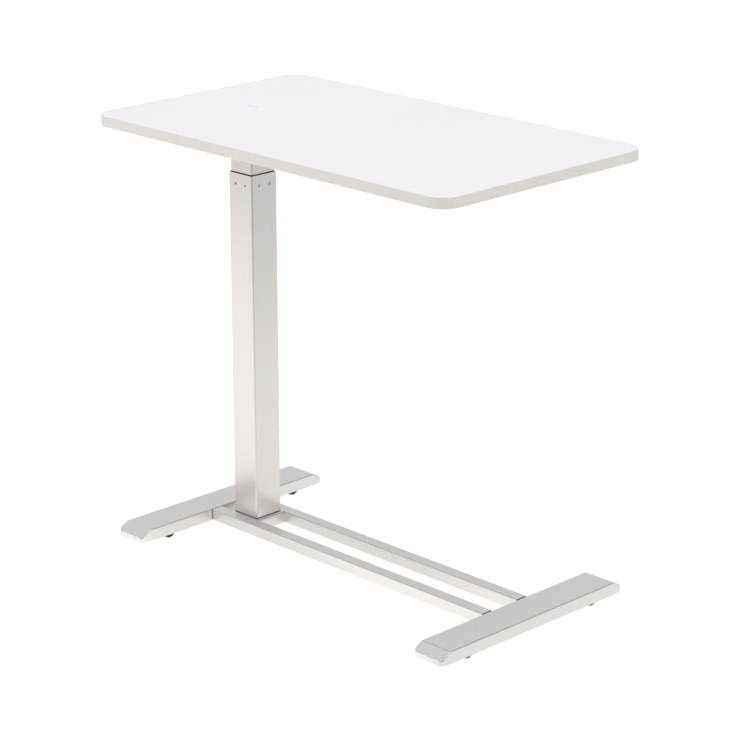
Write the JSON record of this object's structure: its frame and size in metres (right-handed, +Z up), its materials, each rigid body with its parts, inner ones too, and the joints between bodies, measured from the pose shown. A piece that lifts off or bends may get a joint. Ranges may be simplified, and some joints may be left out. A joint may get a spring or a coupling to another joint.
{
  "type": "overbed table",
  "caption": "Rolling overbed table: rectangular top on a telescopic gas-spring column at one end of a low H-shaped base, with hidden swivel casters and a release lever under the top.",
  "frame": {"origin": "on the floor, under the middle of the top", "axes": "+X along the top, away from the column; +Y across the top; +Z up"},
  "size_m": [0.8, 0.46, 0.76],
  "materials": {
    "silver_frame": "satin champagne silver, finely brushed",
    "steel_parts": "zinc plated",
    "dark_paint": "satin black",
    "chrome_rod": "polished",
    "cast_alloy": "as cast",
    "white_laminate": "white melamine on particle board, fine matte",
    "edge_band": "warm light grey, fine matte",
    "dark_plastic": "moulded, fine texture",
    "wheel_tread": "matte",
    "seal_rubber": "smooth"
  },
  "bodies": {
    "base": {"left_foot_beam": "silver_frame", "right_foot_beam": "silver_frame", "front_rail": "silver_frame", "rear_rail": "silver_frame", "column_seat": "silver_frame", "outer_column_tube": "silver_frame", "guide_bush_pegs": "silver_frame", "column_foot_plate": "steel_parts", "column_bolts": "steel_parts", "rail_bolts": "steel_parts", "caster_plates": "steel_parts", "caster_nuts": "steel_parts", "gas_spring_nut": "steel_parts", "gas_spring_cylinder": "dark_paint", "gas_spring_gland": "cast_alloy", "left_rail_inserts": "dark_plastic", "right_rail_collars": "dark_plastic", "upper_guide_bush": "dark_plastic"},
    "top": {"inner_column_tube": "silver_frame", "lower_glide_shoe": "dark_plastic", "mounting_plate": "dark_paint", "front_support_arm": "dark_paint", "rear_support_arm": "dark_paint", "support_arm_caps": "dark_plastic", "plate_bolts": "steel_parts", "plate_nuts": "steel_parts", "panel_screws": "steel_parts", "tabletop_panel": "white_laminate", "edge_band": "edge_band", "gas_spring_rod": "chrome_rod", "gas_spring_piston": "cast_alloy", "piston_seal": "seal_rubber", "release_head": "cast_alloy", "rod_lock_nut": "steel_parts", "release_head_screws": "steel_parts", "lever_bracket": "steel_parts", "lever_pivot_pin": "steel_parts"},
    "lever": {"release_lever": "dark_paint", "lever_grip": "dark_plastic"},
    "release_pin_slider": {"release_pin": "steel_parts"},
    "left_front_caster": {"left_front_caster_body": "dark_plastic", "left_front_caster_axle": "steel_parts"},
    "left_front_wheel_a": {"left_front_caster_wheel_a": "wheel_tread"},
    "left_front_wheel_b": {"left_front_caster_wheel_b": "wheel_tread"},
    "left_rear_caster": {"left_rear_caster_body": "dark_plastic", "left_rear_caster_axle": "steel_parts"},
    "left_rear_wheel_a": {"left_rear_caster_wheel_a": "wheel_tread"},
    "left_rear_wheel_b": {"left_rear_caster_wheel_b": "wheel_tread"},
    "right_front_caster": {"right_front_caster_body": "dark_plastic", "right_front_caster_axle": "steel_parts"},
    "right_front_wheel_a": {"right_front_caster_wheel_a": "wheel_tread"},
    "right_front_wheel_b": {"right_front_caster_wheel_b": "wheel_tread"},
    "right_rear_caster": {"right_rear_caster_body": "dark_plastic", "right_rear_caster_axle": "steel_parts"},
    "right_rear_wheel_a": {"right_rear_caster_wheel_a": "wheel_tread"},
    "right_rear_wheel_b": {"right_rear_caster_wheel_b": "wheel_tread"}
  },
  "joints": [
    {"name": "lift", "type": "slide", "parent": "base", "child": "top", "axis": [0, 0, 1], "range_m": [-0.06, 0.34]},
    {"name": "release_lever_tilt", "type": "hinge", "parent": "top", "child": "lever", "pos_m": [-0.292, 0, 0.728], "axis": [0, 1, 0], "range_deg": [0, 5.5], "stiffness_Nm_per_rad": 0.8, "springref_deg": -8.59},
    {"name": "release_pin_slide", "type": "slide", "parent": "top", "child": "release_pin_slider", "axis": [0, 0, -1], "range_m": [0, 0.0028]},
    {"name": "left_front_swivel", "type": "hinge", "parent": "base", "child": "left_front_caster", "pos_m": [-0.357, -0.147, 0.0275], "axis": [0, 0, 1], "continuous": true},
    {"name": "left_front_wheel_a_roll", "type": "hinge", "parent": "left_front_caster", "child": "left_front_wheel_a", "pos_m": [-0.357, -0.137, 0.0125], "axis": [1, 0, 0], "continuous": true},
    {"name": "left_front_wheel_b_roll", "type": "hinge", "parent": "left_front_caster", "child": "left_front_wheel_b", "pos_m": [-0.357, -0.137, 0.0125], "axis": [1, 0, 0], "continuous": true},
    {"name": "left_rear_swivel", "type": "hinge", "parent": "base", "child": "left_rear_caster", "pos_m": [-0.357, 0.147, 0.0275], "axis": [0, 0, 1], "continuous": true},
    {"name": "left_rear_wheel_a_roll", "type": "hinge", "parent": "left_rear_caster", "child": "left_rear_wheel_a", "pos_m": [-0.357, 0.157, 0.0125], "axis": [1, 0, 0], "continuous": true},
    {"name": "left_rear_wheel_b_roll", "type": "hinge", "parent": "left_rear_caster", "child": "left_rear_wheel_b", "pos_m": [-0.357, 0.157, 0.0125], "axis": [1, 0, 0], "continuous": true},
    {"name": "right_front_swivel", "type": "hinge", "parent": "base", "child": "right_front_caster", "pos_m": [0.357, -0.147, 0.0275], "axis": [0, 0, 1], "continuous": true},
    {"name": "right_front_wheel_a_roll", "type": "hinge", "parent": "right_front_caster", "child": "right_front_wheel_a", "pos_m": [0.357, -0.137, 0.0125], "axis": [1, 0, 0], "continuous": true},
    {"name": "right_front_wheel_b_roll", "type": "hinge", "parent": "right_front_caster", "child": "right_front_wheel_b", "pos_m": [0.357, -0.137, 0.0125], "axis": [1, 0, 0], "continuous": true},
    {"name": "right_rear_swivel", "type": "hinge", "parent": "base", "child": "right_rear_caster", "pos_m": [0.357, 0.147, 0.0275], "axis": [0, 0, 1], "continuous": true},
    {"name": "right_rear_wheel_a_roll", "type": "hinge", "parent": "right_rear_caster", "child": "right_rear_wheel_a", "pos_m": [0.357, 0.157, 0.0125], "axis": [1, 0, 0], "continuous": true},
    {"name": "right_rear_wheel_b_roll", "type": "hinge", "parent": "right_rear_caster", "child": "right_rear_wheel_b", "pos_m": [0.357, 0.157, 0.0125], "axis": [1, 0, 0], "continuous": true}
  ],
  "couplings": [
    {"joint": "release_pin_slide", "follows": "release_lever_tilt", "m_per_rad": 0.028}
  ]
}
